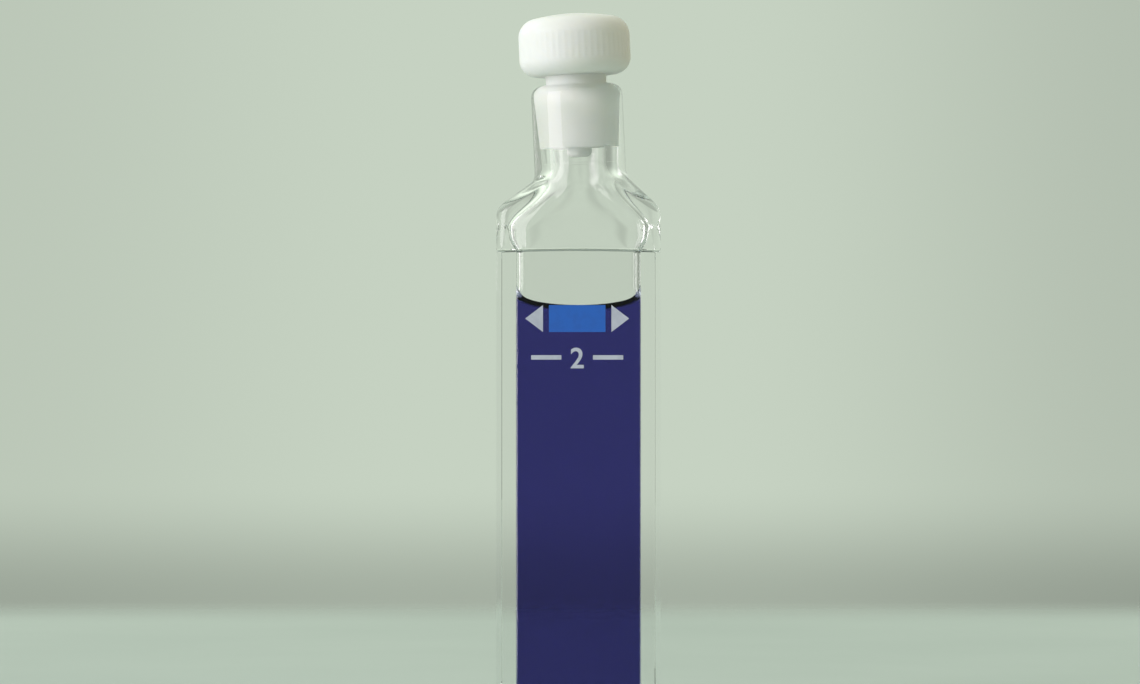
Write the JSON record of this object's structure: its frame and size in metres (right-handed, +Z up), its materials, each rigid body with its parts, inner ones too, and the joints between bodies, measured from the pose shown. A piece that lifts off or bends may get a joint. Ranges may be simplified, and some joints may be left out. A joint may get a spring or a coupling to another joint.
{
  "type": "stoppered cuvette",
  "caption": "Flat clear cuvette with a short light path, moulded shoulder and round neck, closed by a fluted push-in stopper and filled with a dark blue sample.",
  "frame": {"origin": "centre of the cell's flat underside", "axes": "+Z up along the cell, +X to the right across the wide window, -Y out of the marked front window"},
  "size_m": [0.0126, 0.0084, 0.0535],
  "materials": {
    "quartz": "polished",
    "stopper_white": "satin",
    "sample_blue": "clear liquid"
  },
  "bodies": {
    "cell": {"cell": "quartz", "sample_liquid": "sample_blue"},
    "stopper": {"stopper": "stopper_white"}
  },
  "joints": [
    {"name": "stopper_pull", "type": "slide", "parent": "cell", "child": "stopper", "axis": [-0.0471, 0, 0.9989], "range_m": [0, 0.012]}
  ]
}
